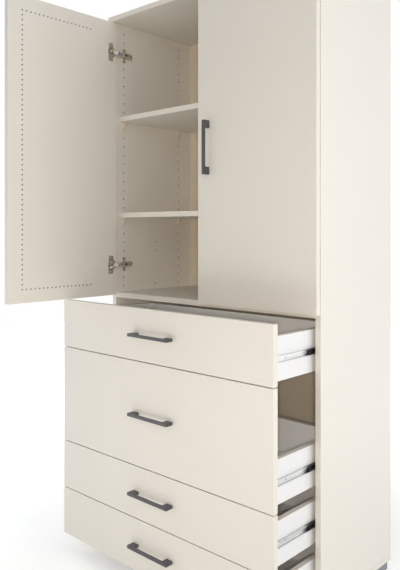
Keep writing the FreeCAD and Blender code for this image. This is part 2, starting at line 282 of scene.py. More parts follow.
@dataclass(frozen=True)
class EdgeBand(Finish):
    """ABS edge band, extruded, glued on and scraped round.

    It gives the edges a slightly glossier line than the faces, with faint scraper marks, which
    are drawn coarser than they are.
    """

    size: float = 3.0
    detail: float = 1.0
    shades: Flat = (0.99, 1.01)
    depth: float = 0.03
    strength: float = 0.15


@dataclass(frozen=True)
class RawHardboard(Finish):
    """The raw rear side of hardboard, pressed wet on a wire screen.

    It gives a dull brown felt of fibres with the screen's fine squares, drawn twice as coarse.
    """

    size: float = 5.0
    detail: float = 6.0
    shades: Flat = (0.72, 1.3)
    depth: float = 0.3
    strength: float = 0.5
    patch: float = 90.0
    screen: float = 3.0
    bands: float = 3.18  # how many a wave texture has in one unit of its scale

    def dress(self, surface: Surface) -> None:
        """Adds the fibres, the duller patches and the screen.

        Args:
            surface: The shader that gets them.
        """
        tree, fibres = surface.tree, surface.noise(self.size, self.detail)
        dull = to_linear(self.colour, 0.9)
        patches = surface.noise(self.patch, 2.0)
        surface.feed("Base Color", surface.blend(patches, self.tone(surface, fibres), dull))
        inputs = {"Vector": surface.place, "Scale": grain(self.screen) / self.bands}
        waves = [
            add_node(tree, "ShaderNodeTexWave", {"bands_direction": way, "wave_profile": "SIN"}, inputs)
            for way in "XZ"
        ]
        terms = dict(enumerate(wave.outputs["Fac"] for wave in waves))
        squares = add_node(tree, "ShaderNodeMath", {"operation": "MULTIPLY"}, terms).outputs[0]
        height = add_node(tree, "ShaderNodeMath", {"operation": "ADD"}, {0: squares, 1: fibres})
        surface.emboss(height.outputs[0], self.depth, self.strength)


@dataclass(frozen=True)
class Chipboard(Finish):
    """Raw chipboard where it is drilled: pale and dark wood chips in glue."""

    size: float = 1.8
    shades: Flat = (0.6, 1.25)
    depth: float = 0.2
    strength: float = 0.6

    def dress(self, surface: Surface) -> None:
        """Adds the chips.

        Args:
            surface: The shader that gets them.
        """
        inputs = {"Vector": surface.place, "Scale": grain(self.size)}
        chips = add_node(surface.tree, "ShaderNodeTexVoronoi", inputs=inputs).outputs
        grey = add_node(surface.tree, "ShaderNodeRGBToBW", inputs={0: chips["Color"]}).outputs[0]
        surface.feed("Base Color", self.tone(surface, grey))
        surface.emboss(chips["Distance"], self.depth, self.strength)


@dataclass(frozen=True)
class PowderCoat(Finish):
    """Fine-textured polyester powder, baked on: matt, with a sand-like skin."""

    size: float = 0.9
    detail: float = 3.0
    shades: Flat = (0.85, 1.15)
    gloss: Flat | None = (-0.06, 0.06)
    depth: float = 0.08
    strength: float = 0.5


@dataclass(frozen=True)
class PlatedSteel(Finish):
    """Pressed steel, nickel-plated: bright, a little warm, with hazy patches."""

    size: float = 4.0
    detail: float = 3.0
    shades: Flat = (0.92, 1.0)
    gloss: Flat | None = (-0.05, 0.08)
    depth: float = 0.02
    strength: float = 0.1


@dataclass(frozen=True)
class RolledSteel(Finish):
    """Cold-rolled strip, zinc-plated: bright, with drawing lines along the rail.

    A band of painted shade, near black, sets in between two places along Y, in metres. It stands in for the
    shade and dark reflection where the rail runs in by the black cage.
    """

    size: float = 0.7
    shades: Flat = (0.93, 1.0)
    gloss: Flat | None = (-0.06, 0.08)
    depth: float = 0.02
    strength: float = 0.2
    length: float = 70.0
    painted_shade: Flat | None = None
    painted_shade_colour: str = "#0b0a09"
    # how far the painted shade darkens the steel towards near black, as a share
    cover: float = 0.94

    def dress(self, surface: Surface) -> None:
        """Draws the noise out into lines, and lays the painted shade over them.

        Args:
            surface: The shader that gets them.
        """
        tree, squeeze = surface.tree, (1.0, self.size / self.length, 1.0)
        inputs = {"Vector": surface.place, "Scale": squeeze}
        drawn = add_node(tree, "ShaderNodeMapping", inputs=inputs).outputs["Vector"]
        Finish.dress(self, replace(surface, place=drawn))
        if self.painted_shade is None:
            return
        # Painted shade: along Y the steel's colour is mixed almost to black, for the shade and dark
        # reflection by the cage.
        steel = surface.shader.inputs["Base Color"].links[0].from_socket
        along = add_node(tree, "ShaderNodeSeparateXYZ", inputs={0: surface.place}).outputs["Y"]
        start, end = self.painted_shade
        inputs = {"Value": along, "From Min": start, "From Max": end, "To Max": self.cover}
        painted_shade = add_node(tree, "ShaderNodeMapRange", {"interpolation_type": "SMOOTHSTEP"}, inputs)
        surface.feed("Base Color", surface.blend(painted_shade.outputs["Result"], steel, to_linear(self.painted_shade_colour)))


@dataclass(frozen=True)
class MouldedPlastic(Finish):
    """Injection-moulded plastic: even, with the mould's fine spark texture."""

    size: float = 0.8
    shades: Flat = (0.96, 1.04)
    gloss: Flat | None = (-0.04, 0.05)
    depth: float = 0.03
    strength: float = 0.3


CASHMERE = Melamine("Cashmere melamine-faced chipboard", "#e5e0d6", 0.45)
CASHMERE_BAND = EdgeBand("Cashmere ABS edge band", "#e4dfd4", 0.42)
WHITE = Melamine("White melamine-faced chipboard", "#e6e6e5", 0.42)
DRAWER_BAND = EdgeBand("Pale ABS edge band of the drawer boxes", "#e6dfd3", 0.4)
LACQUER = Melamine("Lacquered face of the hardboard back", "#e6d9c5", 0.5)
HARDBOARD = RawHardboard("Raw screen side of the hardboard back", "#8b6b4a", 0.85)
CHIPBOARD = Chipboard("Raw chipboard in the drilled holes", "#6f5c46", 0.9)
ANTHRACITE = PowderCoat("Anthracite powder-coated zinc die casting", "#4b4b4d", 0.5)
NICKEL = PlatedSteel("Nickel-plated pressed steel", "#cfc6b8", 0.38, 0.8)
MATT_NICKEL = PlatedSteel("Matt nickel-plated zinc die casting", "#cfc6b8", 0.46, 0.6)
BRIGHT_NICKEL = PlatedSteel("Polished nickel-plated steel", "#a4a3a0", 0.22, 1.0)
SCREW_ZINC = PlatedSteel("Zinc-plated screw steel", "#bdbcb8", 0.3, 1.0, size=2.0)
# Painted shade: near black, for the shadowed hole in the hinge arm's web and the head sunk in it.
SHADE_BLACK = PlatedSteel("Oiled black-oxide screw steel", "#060504", 0.9, size=2.0)
RAIL_ZINC = RolledSteel("Zinc-plated cold-rolled strip", "#cfcfce", 0.3, 1.0)
BALL_STEEL = PlatedSteel("Polished ball steel", "#dcdcda", 0.12, 1.0)
BLACK_ACETAL = MouldedPlastic("Black acetal", "#080808", 0.5)
SUPPORT_BEIGE = MouldedPlastic("Beige polyamide shelf support", "#d9d1c3", 0.42)
FOOT_GREY = MouldedPlastic("Grey polypropylene foot", "#85868a", 0.5)


# ---------------------------------------------------------------- node trees for what repeats

class Recipe:
    """A geometry-node tree with named inputs, which runs on a mesh and leaves a plain mesh."""

    def __init__(self, name: str, **inputs: str) -> None:
        """Starts the tree.

        Args:
            name: What it makes.
            **inputs: The type of each named input, as in "Float".
        """
        self.tree = bpy.data.node_groups.new(name, "GeometryNodeTree")
        self.tree.is_modifier = True
        for way in ("INPUT", "OUTPUT"):
            self.tree.interface.new_socket("Geometry", in_out=way, socket_type="NodeSocketGeometry")
        for label, kind in inputs.items():
            self.tree.interface.new_socket(label, in_out="INPUT", socket_type="NodeSocket" + kind)
        self.given = add_node(self.tree, "NodeGroupInput").outputs

    def add(self, kind: str, inputs: Inputs | None = None, **settings: object) -> Socket:
        """Adds a node, named without the prefix for geometry, and gives its first output."""
        full = kind if "Node" in kind else "GeometryNode" + kind
        return add_node(self.tree, full, settings, inputs).outputs[0]

    def turned(self) -> Socket:
        """The turn from Z to the input Facing."""
        return self.add("FunctionNodeAlignRotationToVector", {"Vector": self.given["Facing"]}, axis="Z")

    def line(self) -> Socket:
        """A line of points from the inputs First, Step and Count."""
        names = {"Count": "Count", "Start Location": "First", "Offset": "Step"}
        return self.add("MeshLine", {key: self.given[name] for key, name in names.items()})

    def end(self, made: Socket, finish: Socket, **selection: Socket) -> None:
        """Ends the tree with plain meshes that carry their material.

        Args:
            made: What the tree has made.
            finish: The material.
            **selection: The faces that get it, if not all.
        """
        plain = self.add("RealizeInstances", {"Geometry": made})
        painted = self.add("SetMaterial", {"Geometry": plain, "Material": finish, **selection})
        add_node(self.tree, "NodeGroupOutput", inputs={0: painted})

    def run(self, mesh: Mesh, **values: object) -> Mesh:
        """Runs the tree on a mesh.

        Args:
            mesh: What goes in.
            **values: The value of each named input.

        Returns:
            A new plain mesh.
        """
        def set_up(modifier: bpy.types.NodesModifier) -> None:
            """Gives the modifier the tree and its values."""
            modifier.node_group = self.tree
            for item in self.tree.interface.items_tree:
                if item.in_out == "INPUT" and item.name in values:
                    modifier[item.identifier] = values[item.name]

        return modified(mesh, "NODES", set_up)


class DrilledRow(Recipe):
    """A row of holes or short slots cut into a mesh, with raw walls."""

    def __init__(self) -> None:
        """Builds the tree: a line of cutters, each the hull of two rods, taken from the mesh."""
        super().__init__(
            "Drilled row", First="Vector", Step="Vector", Count="Int", Radius="Float", Depth="Float",
            Facing="Vector", Slot="Vector", Corners="Int", Wall="Material",
        )
        given = self.given
        inputs = {"Vertices": given["Corners"], "Radius": given["Radius"], "Depth": given["Depth"]}
        rod = self.add("MeshCylinder", inputs)
        ends = self.add("MeshLine", {"Count": 2, "Offset": given["Slot"]})
        pair = self.add("InstanceOnPoints", {"Points": ends, "Instance": rod, "Rotation": self.turned()})
        cutter = self.add("ConvexHull", {"Geometry": pair})
        copies = self.add("InstanceOnPoints", {"Points": self.line(), "Instance": cutter})
        plain = self.add("RealizeInstances", {"Geometry": copies})
        inputs = {"Geometry": plain, "Name": "drilled", "Value": True}
        marked = self.add("StoreNamedAttribute", inputs, data_type="BOOLEAN", domain="FACE")
        inputs = {"Mesh 1": given["Geometry"], "Mesh 2": marked}
        cut = self.add("MeshBoolean", inputs, operation="DIFFERENCE", solver="EXACT")
        wall = self.add("InputNamedAttribute", {"Name": "drilled"}, data_type="BOOLEAN")
        self.end(cut, given["Wall"], Selection=wall)


class ScrewHeads(Recipe):
    """Raised screw heads with a cross recess, one on each point."""

    def __init__(self) -> None:
        """Builds the tree: a flat dome, less two crossed bars, set on the points."""
        super().__init__(
            "Screw heads", Radius="Float", Rise="Float", Recess="Float", Facing="Vector", Finish="Material",
        )
        given = self.given
        radius, rise = given["Radius"], given["Rise"]
        ball = self.add("MeshUVSphere", {"Segments": 20, "Rings": 10, "Radius": 1.0})
        size = self.add("ShaderNodeCombineXYZ", {"X": radius, "Y": radius, "Z": rise})
        dome = self.add("Transform", {"Geometry": ball, "Scale": size})
        long = self.add("ShaderNodeMath", {0: radius, 1: 1.1}, operation="MULTIPLY")
        wide = self.add("ShaderNodeCombineXYZ", {"X": long, "Y": given["Recess"], "Z": rise})
        lift = self.add("ShaderNodeCombineXYZ", {"Z": rise})
        place = {"Geometry": self.add("MeshCube", {"Size": wide}), "Translation": lift}
        bars = [self.add("Transform", {**place, "Rotation": (0.0, 0.0, turn)}) for turn in (0.0, math.pi / 2)]
        inputs = {"Mesh 1": dome, "Mesh 2": bars}
        head = self.add("MeshBoolean", inputs, operation="DIFFERENCE", solver="EXACT")
        inputs = {"Points": given["Geometry"], "Instance": head, "Rotation": self.turned()}
        self.end(self.add("InstanceOnPoints", inputs), given["Finish"])


class BallRow(Recipe):
    """A straight row of bearing balls."""

    def __init__(self) -> None:
        """Builds the tree: a line of small spheres."""
        super().__init__(
            "Ball row", First="Vector", Step="Vector", Count="Int", Radius="Float", Finish="Material",
        )
        ball = self.add("MeshIcoSphere", {"Radius": self.given["Radius"], "Subdivisions": 2})
        smooth = self.add("SetShadeSmooth", {"Geometry": ball})
        balls = self.add("InstanceOnPoints", {"Points": self.line(), "Instance": smooth})
        self.end(balls, self.given["Finish"])


DRILL = DrilledRow()
SCREWS = ScrewHeads()
BALLS = BallRow()


# ---------------------------------------------------------------- a piece in the making

@dataclass(frozen=True)
class Row:
    """A row of drilled holes: where it starts, its step, and what each hole is like."""

    first: Point
    step: Point
    count: int
    facing: Point
    radius: float = 2.5
    depth: float = 12.0
    slot: Point = (0.0, 0.0, 0.0)
    corners: int = 12


class Workpiece:
    """A mesh in the making, in millimetres, which is delivered as one named piece."""

    overlap = 2.0  # how far a drill stands out of the surface
    sharp_angle = math.radians(25)  # a prism's edges with a larger angle are rounded

    def __init__(self, name: str, *finishes: Finish) -> None:
        """Starts an empty piece.

        Args:
            name: The piece's name.
            *finishes: Its finishes. A face refers to one by number.
        """
        self.name = name
        self.finishes = [finish.material() for finish in finishes]
        self.body = bmesh.new()

    def box(
        self, low: Sequence[float], high: Sequence[float], radius: float = 0.0, segments: int = 2,
        face_finish: Callable[[Vector], int] = lambda normal: 0, edge_finish: int = 0,
    ) -> "Workpiece":
        """Adds a box with rounded edges.

        Args:
            low: Its lowest corner.
            high: Its highest corner.
            radius: The radius of its edges.
            segments: How many strips each edge has.
            face_finish: Gives a flat face's finish from its normal.
            edge_finish: The finish of the rounded edges.

        Returns:
            The piece.
        """
        corner, far = Vector(low), Vector(high)
        place = Matrix.LocRotScale((corner + far) / 2, None, far - corner)
        made = bmesh.ops.create_cube(self.body, size=1.0, matrix=place)
        faces = {face for vert in made["verts"] for face in vert.link_faces}
        for face in faces:
            face.normal_update()
            face.material_index = face_finish(face.normal)
        self.round({edge for face in faces for edge in face.edges}, radius, segments, edge_finish)
        return self

    def round(self, edges: set[bmesh.types.BMEdge], radius: float, segments: int, finish: int = 0) -> None:
        """Rounds edges and lets the new strips shade smoothly.

        Args:
            edges: The edges.
            radius: Their radius.
            segments: How many strips each gets.
            finish: The strips' finish.
        """
        if radius <= 0:
            return
        made = bmesh.ops.bevel(
            self.body, geom=list(edges), offset=radius, offset_type="OFFSET", segments=segments,
            profile=0.5, affect="EDGES", clamp_overlap=True,
        )
        for face in made["faces"]:
            face.smooth = True
            face.material_index = finish

    def prism(
        self, outline: Sequence[Sequence[float]], along: Sequence[float], radius: float = 0.0,
        segments: int = 2, only: Callable[[bmesh.types.BMEdge], bool] = lambda edge: True,
    ) -> "Workpiece":
        """Adds a flat outline pushed along a direction.

        Args:
            outline: Its corners, as points in space.
            along: The direction and length.
            radius: The radius of the sharp edges.
            segments: How many strips each rounded edge has.
            only: Picks the sharp edges that are rounded.

        Returns:
            The piece.
        """
        ring = [self.body.verts.new(Vector(point)) for point in outline]
        far = [self.body.verts.new(Vector(point) + Vector(along)) for point in outline]
        faces = [self.body.faces.new(ring), self.body.faces.new(far[::-1])]
        for i in range(len(ring)):
            j = (i + 1) % len(ring)
            faces.append(self.body.faces.new([ring[j], ring[i], far[i], far[j]]))
        bmesh.ops.recalc_face_normals(self.body, faces=faces)
        edges = {edge for face in faces for edge in face.edges}
        sharp = {edge for edge in edges if edge.calc_face_angle(0) > self.sharp_angle}
        for face in faces[2:]:
            face.smooth = not sharp.issuperset(face.edges)
        chosen = {edge for edge in sharp if only(edge)}
        for edge in sharp:
            edge.smooth = False
        self.round(chosen, radius, segments)
        return self

    def lathe(
        self, profile: Sequence[Flat], base: Sequence[float], axis: Sequence[float],
        segments: int = 32, closed: bool = False, crease: float = 35.0,
    ) -> "Workpiece":
        """Adds a turned form.

        Args:
            profile: Radius and height of each point.
            base: Where height is 0 on the axis.
            axis: The direction in which height grows.
            segments: How many strips it has round the axis.
            closed: Whether the profile goes round once; if not, it starts and ends on the axis.
            crease: The angle in degrees from which its edges look sharp.

        Returns:
            The piece.
        """
        turn = Vector(axis).normalized().to_track_quat("Z", "Y")
        rings = []
        for radius, height in profile:
            angles = [math.tau * i / segments for i in range(segments if radius > 0 else 1)]
            points = [Vector((radius * math.cos(a), radius * math.sin(a), height)) for a in angles]
            rings.append([self.body.verts.new(Vector(base) + turn @ point) for point in points])
        faces = []
        for near, far in zip(rings, rings[1:] + rings[:1] * closed):
            for i in range(segments):
                j = (i + 1) % segments
                corners = [near[i % len(near)], near[j % len(near)], far[j % len(far)], far[i % len(far)]]
                loop = list(dict.fromkeys(corners))
                if len(loop) > 2:
                    faces.append(self.body.faces.new(loop))
        bmesh.ops.recalc_face_normals(self.body, faces=faces)
        for face in faces:
            face.smooth = True
        for edge in {edge for face in faces for edge in face.edges}:
            edge.smooth = edge.calc_face_angle(0) < math.radians(crease)
        return self

    def to_mesh(self) -> Mesh:
        """The piece so far as a mesh.

        Returns:
            A new mesh, still in millimetres.
        """
        mesh = bpy.data.meshes.new(self.name)
        self.body.to_mesh(mesh)
        for finish in self.finishes:
            mesh.materials.append(finish)
        return mesh

    def go_on_from(self, mesh: Mesh) -> None:
        """Goes on from a mesh that a modifier has made.

        Args:
            mesh: The mesh, with its own list of materials.
        """
        self.body.clear()
        self.body.from_mesh(mesh)
        self.finishes = list(mesh.materials)

    def carve(self, *cutters: "Workpiece") -> None:
        """Cuts other forms out of the piece.

        Args:
            *cutters: The forms.
        """
        for cutter in cutters:
            tool = put_in_scene("tool", cutter.to_mesh())

            def set_up(cut: bpy.types.BooleanModifier) -> None:
                """Makes the modifier take the tool away."""
                cut.operation, cut.solver, cut.object = "DIFFERENCE", "EXACT", tool

            self.go_on_from(modified(self.to_mesh(), "BOOLEAN", set_up))
            bpy.data.objects.remove(tool)

    def drill(self, *rows: Row, wall: Finish = CHIPBOARD) -> None:
        """Drills rows of holes.

        Args:
            *rows: The rows.
            wall: The finish of the holes' walls.
        """
        for row in rows:
            facing = Vector(row.facing)
            middle = Vector(row.first) - Vector(row.slot) / 2 + facing * (self.overlap - row.depth) / 2
            self.go_on_from(DRILL.run(
                self.to_mesh(), First=middle, Step=row.step, Count=row.count, Radius=row.radius,
                Depth=row.depth + self.overlap, Facing=facing, Slot=row.slot, Corners=row.corners,
                Wall=wall.material(),
            ))

    def join(self, mesh: Mesh) -> None:
        """Adds a finished mesh with its materials.

        Args:
            mesh: The mesh.
        """
        self.finishes += [material for material in mesh.materials if material not in self.finishes]
        numbers = [self.finishes.index(material) for material in mesh.materials]
        for polygon in mesh.polygons:
            polygon.material_index = numbers[polygon.material_index]
        self.body.from_mesh(mesh)

    def add(self, make: Callable[["Workpiece"], object], *places: Matrix) -> None:
        """Makes a part anew for each place and adds it there.

        Args:
            make: Makes the part.
            *places: The moves to where it goes. After a mirror its faces still look outwards.
        """
        for place in places:
            part = Workpiece("part")
            part.finishes = list(self.finishes)
            make(part)
            bmesh.ops.transform(part.body, matrix=place, verts=part.body.verts)
            if place.determinant() < 0:
                bmesh.ops.reverse_faces(part.body, faces=part.body.faces)
            self.join(part.to_mesh())

    def screws(
        self, points: Sequence[Point], facing: Point, finish: Finish,
        radius: float, rise: float, recess: float,
    ) -> None:
        """Adds a screw head on each point.

        Args:
            points: Where the heads sit.
            facing: The direction in which they face.
            finish: Their finish.
            radius: Of a head.
            rise: How far a head stands proud.
            recess: How wide the bars of its cross are.
        """
        dots = bpy.data.meshes.new("points")
        dots.from_pydata(points, [], [])
        self.join(SCREWS.run(
            dots, Radius=radius, Rise=rise, Recess=recess, Facing=Vector(facing), Finish=finish.material(),
        ))

    def balls(self, first: Point, step: Point, count: int, radius: float) -> None:
        """Adds a row of bearing balls, from the middle of the first one."""
        values = {"First": first, "Step": step, "Count": count, "Radius": radius}
        self.join(BALLS.run(bpy.data.meshes.new("none"), **values, Finish=BALL_STEEL.material()))

    def deliver(self, body: str, slot: str, *nodes: str) -> None:
        """Puts the piece in the scene, in metres, on its body.

        Args:
            body: The body it moves with.
            slot: A slot name in the record; not used.
            *nodes: The solids that it stands for.
        """
        mesh = self.to_mesh()
        mesh.transform(Matrix.Scale(MM, 4))
        if "drilled" in mesh.attributes:
            mesh.attributes.remove(mesh.attributes["drilled"])
        piece = put_in_scene(self.name, mesh)
        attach(piece, body)
        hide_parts(*nodes)
        self.body.free()
        LOG.info("%s: %d faces on %s", piece.name, len(mesh.polygons), body)


def span(node: str) -> tuple[Vector, Vector]:
    """The lowest and the highest corner of a solid's box, in millimetres."""
    low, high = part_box(node)
    return low / MM, high / MM


def arc(centre: Flat, radius: float, start: float, end: float, steps: int) -> list[Flat]:
    """The points of an arc between two angles in degrees, both ends included."""
    angles = [math.radians(start + (end - start) * i / steps) for i in range(steps + 1)]
    return [(centre[0] + radius * math.cos(a), centre[1] + radius * math.sin(a)) for a in angles]


def rounded_rectangle(low: Flat, high: Flat, radius: float, steps: int) -> list[Flat]:
    """The outline of a flat plate with round corners.

    Args:
        low: Its lower left corner.
        high: Its upper right corner.
        radius: The corners' radius.
        steps: How many steps a corner has.

    Returns:
        The outline, going round once.
    """
    left, bottom = low[0] + radius, low[1] + radius
    right, top = high[0] - radius, high[1] - radius
    corners = (((right, bottom), -90), ((right, top), 0), ((left, top), 90), ((left, bottom), 180))
    return [point for centre, start in corners for point in arc(centre, radius, start, start + 90, steps)]


# ---------------------------------------------------------------- boards

@dataclass
class Board:
    """A melamine-faced board with banded, slightly rounded edges."""

    node: str
    body: str
    slot: str = "cashmere_board"
    face: Finish = CASHMERE
    band: Finish = CASHMERE_BAND
    edge_radius: float = 0.9
    grooves: Sequence[tuple[Vector, Vector]] = ()
    rows: Sequence[Row] = ()

    def build(self) -> None:
        """Builds the board where its solid is."""
        low, high = span(self.node)
        size = high - low
        thin = min(range(3), key=lambda axis: size[axis])
        piece = Workpiece(self.node + "_board", self.face, self.band)
        piece.box(low, high, self.edge_radius, 3, lambda normal: 0 if abs(normal[thin]) > 0.5 else 1, 1)
        for groove in self.grooves:
            piece.carve(Workpiece("groove", CHIPBOARD).box(*groove))
        piece.drill(*self.rows)
        piece.deliver(self.body, self.slot, self.node)


@dataclass
class Carcass:
    """The boards that stand still, their supports and their feet."""

    front: float = -195.0
    hole_drop: float = 34.0
    hole_pitch: float = 32.0
    hole_count: int = 30
    hole_rows: Flat = (36.0, 324.0)
    middle_row: float = 196.0
    middle_holes: tuple[tuple[int, int], ...] = ((24, 2), (29, 1))
    shelf_holes: tuple[int, int] = (11, 22)
    groove_play: float = 0.1
    support: tuple[Flat, ...] = ((0, -5), (3, -5), (4.4, 6.5), (12, 22.5), (12, 27), (0, 27))
    gusset: tuple[Flat, ...] = ((2, -4), (3.5, -4.5), (11, 22), (11, 25), (2, 25))
    peg: tuple[Flat, ...] = ((0, 0), (1.9, 0), (2.4, 0.6), (2.4, 10.8), (0, 11))
    support_half: float = 7.0
    gusset_half: float = 1.0
    peg_depth: float = 10.9
    foot_size: float = 64.0
    foot_plate: float = 3.0
    foot_bore: float = 18.0

    def build(self) -> None:
        """Builds every piece of the carcass."""
        for side in Side:
            self.side_panel(side)
        for node in ("top_panel", "bottom_panel"):
            Board(node, "root", grooves=[self.back_groove(node)]).build()
        self.back_panel()
        for node in ("fixed_shelf", "shelf_upper", "shelf_lower"):
            Board(node, "root").build()
        self.shelf_supports()
        self.feet()

    def level(self, index: int) -> float:
        """The height of a hole in the side panels' rows, by its number from the top."""
        return span("side_panel_left")[1].z - self.hole_drop - index * self.hole_pitch

    def back_groove(self, node: str) -> tuple[Vector, Vector]:
        """The space that the back takes in a board.

        Args:
            node: The board.

        Returns:
            Two corners of the cut.
        """
        play, margin = Vector((self.groove_play,) * 3), Vector((1.0, 1.0, 1.0))
        (low, high), (back_low, back_high) = span(node), span("back_panel")
        near = Vector([max(pair) for pair in zip(back_low - play, low - margin)])
        return near, Vector([min(pair) for pair in zip(back_high + play, high + margin)])

    def side_panel(self, side: Side) -> None:
        """A side panel with its rows of holes.

        Args:
            side: Which one.
        """
        node = f"side_panel_{side.name.lower()}"
        low, high = span(node)
        inner = high.x if side is Side.LEFT else low.x
        starts = [(row, 0, self.hole_count) for row in self.hole_rows]
        starts += [(self.middle_row, index, count) for index, count in self.middle_holes]
        step, facing = (0, 0, -self.hole_pitch), (side.value, 0, 0)
        rows = [
            Row((inner, self.front + v, self.level(index)), step, count, facing)
            for v, index, count in starts
        ]
        Board(node, "root", grooves=[self.back_groove(node)], rows=rows).build()

    def back_panel(self) -> None:
        """The thin back: lacquered inside, raw behind."""
        piece = Workpiece("back_panel_hardboard", LACQUER, HARDBOARD)
        piece.box(*span("back_panel"), 0.2, 1, lambda normal: 0 if normal.y < -0.5 else 1, 1)
        piece.deliver("root", "hardboard", "back_panel")

    def shelf_supports(self) -> None:
        """The supports under the loose shelves: peg, plate, gusset and ledge."""
        piece = Workpiece("shelf_supports_moulded", SUPPORT_BEIGE)
        inner = span("side_panel_left")[1].x
        places = [
            (self.front + row, self.level(index)) for index in self.shelf_holes for row in self.hole_rows
        ]
        for y, z in places:
            for side in Side:
                for outline, half, radius, segments in (
                    (self.support, self.support_half, 0.7, 2), (self.gusset, self.gusset_half, 0.2, 1),
                ):
                    ring = [(side.value * (inner + out), y - half, z + up) for out, up in outline]
                    piece.prism(ring, (0, 2 * half, 0), radius, segments)
                peg_end = (side.value * (inner - self.peg_depth), y, z)
                piece.lathe(self.peg, peg_end, (side.value, 0, 0), 16)
        piece.deliver("root", "support_plastic", "shelf_supports")

    def feet(self) -> None:
        """The four feet: a moulded block with a rounded sole, a top plate and its screw."""
        low, high = span("feet")
        piece = Workpiece("feet_moulded", FOOT_GREY, SCREW_ZINC)
        size, joint = self.foot_size, high.z - self.foot_plate
        corners = [(x, y) for x in (low.x, high.x - size) for y in (low.y, high.y - size)]
        for x, y in corners:
            for inset, corner, base, top, radius, segments in (
                (0, 4.0, low.z, joint, 1.2, 3), (1.5, 3.0, joint - 0.6, high.z, 0.3, 1),
            ):
                far = size - inset
                outline = rounded_rectangle((x + inset, y + inset), (x + far, y + far), corner, 4)
                piece.prism([(*point, base) for point in outline], (0, 0, top - base), radius, segments)
        middles = [(x + size / 2, y + size / 2) for x, y in corners]
        for middle in middles:
            piece.drill(
                Row((*middle, low.z), Z, 1, (0, 0, -1), 5.0, self.foot_bore, corners=24), wall=FOOT_GREY
            )
        heads = [(*middle, low.z + self.foot_bore - 0.5) for middle in middles]
        piece.screws(heads, (0, 0, -1), SCREW_ZINC, 4.2, 1.6, 1.3)
        piece.deliver("root", "foot_plastic", "feet")


# ---------------------------------------------------------------- handles

@dataclass
class BarHandle:
    """A cast bar handle: a flat bar on two square feet, with slightly rounded corners."""

    length: float = 170.0
    width: float = 9.0
    thickness: float = 8.0
    projection: float = 27.0
    foot: float = 24.0
    corner: float = 2.2
    fillet: float = 2.0
    edge: float = 0.7

    def outline(self) -> list[Flat]:
        """The side view: how far out, and where along the handle.

        Returns:
            The outline, going round once.
        """
        end, inner = self.length / 2, self.length / 2 - self.foot
        c, f = self.corner, self.fillet
        out, under = c - self.projection, f + self.thickness - self.projection
        return [
            (0, -end), *arc((out, c - end), c, 270, 180, 4), *arc((out, end - c), c, 180, 90, 4), (0, end),
            (0, inner), *arc((under, inner - f), f, 90, 180, 4), *arc((under, f - inner), f, 180, 270, 4),
            (0, -inner),
        ]

    def fit(self, owner: str, turn: Matrix, standing_open: bool = False) -> None:
        """Fits the handle where its solid is.

        Args:
            owner: The door or drawer.
            turn: Its turn; unturned, it stands on a front and its length runs along Z.
            standing_open: Whether its door stands open, so that its foot is at the highest x.
        """
        low, high = span(owner + "_handle")
        foot = (low + high) / 2
        foot[0 if standing_open else 1] = high[0 if standing_open else 1]
        piece = Workpiece(owner + "_handle_cast", ANTHRACITE)
        ring = [(-self.width / 2, y, z) for y, z in self.outline()]
        place = Matrix.Translation(foot) @ turn
        piece.add(lambda bar: bar.prism(ring, (self.width, 0, 0), self.edge, 3), place)
        piece.deliver(owner, "handle_coating", owner + "_handle")


# ---------------------------------------------------------------- concealed hinges

